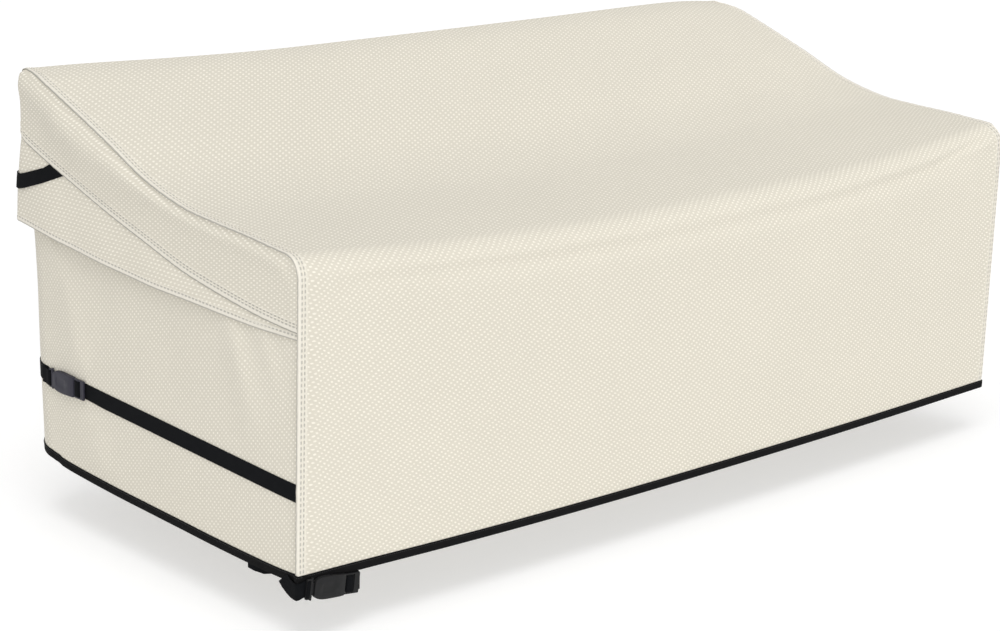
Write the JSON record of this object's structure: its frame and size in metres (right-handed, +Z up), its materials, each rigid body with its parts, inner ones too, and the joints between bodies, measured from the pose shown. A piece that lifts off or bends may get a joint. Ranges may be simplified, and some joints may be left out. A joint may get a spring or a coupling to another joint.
{
  "type": "outdoor sofa cover",
  "caption": "Fitted weatherproof cover for a wide sofa, with side gores, a vent flap over lower panels, bound hem, side belt with buckle, corner handles and a foot strap.",
  "frame": {"origin": "under the top cloth, at the middle of the ridge that runs along the back", "axes": "+X from the cover's left side to its right along the front, +Y from the front to the back, +Z up"},
  "size_m": [2.0232, 0.9348, 0.8403],
  "materials": {
    "fabric": "coated polyester canvas in pale sand, basket weave, matt",
    "binding": "black polyester binding tape, matt",
    "webbing": "black polypropylene webbing, ribbed, slight sheen",
    "plastic": "moulded dark grey plastic, satin"
  },
  "bodies": {
    "root": {"centre_panel": "fabric", "gore_left": "fabric", "gore_right": "fabric", "vent_flap_left": "fabric", "vent_flap_right": "fabric", "vent_flap_back": "fabric", "lower_panel_left": "fabric", "lower_panel_right": "fabric", "lower_panel_back": "fabric", "hem_binding": "binding", "belt_front_left": "webbing", "belt_round_back": "webbing", "corner_handle_left": "webbing", "corner_handle_right": "webbing", "foot_strap_front": "webbing", "foot_strap_back": "webbing", "belt_buckle_male": "plastic", "belt_buckle_female": "plastic", "foot_buckle_male": "plastic", "foot_buckle_female": "plastic"}
  },
  "joints": []
}
